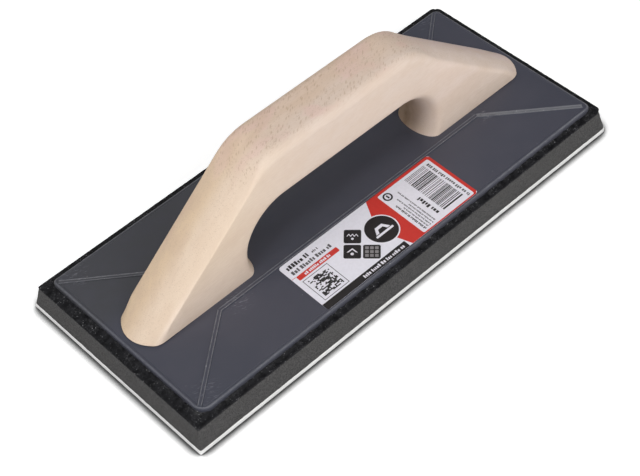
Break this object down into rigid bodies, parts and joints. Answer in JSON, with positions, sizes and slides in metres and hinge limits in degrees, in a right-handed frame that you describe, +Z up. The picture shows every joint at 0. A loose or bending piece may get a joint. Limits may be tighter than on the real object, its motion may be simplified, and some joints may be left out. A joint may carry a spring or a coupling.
{
  "type": "grout float",
  "caption": "Hand float with a flat rubber-faced foam pad, a thin moulded backing plate and a bridge-shaped beech handle.",
  "frame": {"origin": "middle of the pad's flat underside, on the surface it stands on", "axes": "+X along the pad and handle, +Y across the pad away from the side that carries the label, +Z up from the pad towards the handle"},
  "size_m": [0.25, 0.11, 0.0772],
  "materials": {
    "wear_sheet": "matt off-white solid rubber",
    "foam": "matt dark grey fine-celled foam rubber",
    "adhesive": "uneven semi-gloss black contact adhesive",
    "plate": "satin slate grey moulded plastic",
    "beech": "smooth sanded bare beech",
    "label": null,
    "screw": "bright zinc-plated steel"
  },
  "bodies": {
    "root": {"wear_sheet": "wear_sheet", "foam_pad": "foam", "adhesive_film": "adhesive", "backing_plate": "plate", "handle": "beech", "label": "label", "screw_near_inner": "screw", "screw_far_inner": "screw", "screw_near_outer": "screw", "screw_far_outer": "screw"}
  },
  "joints": []
}
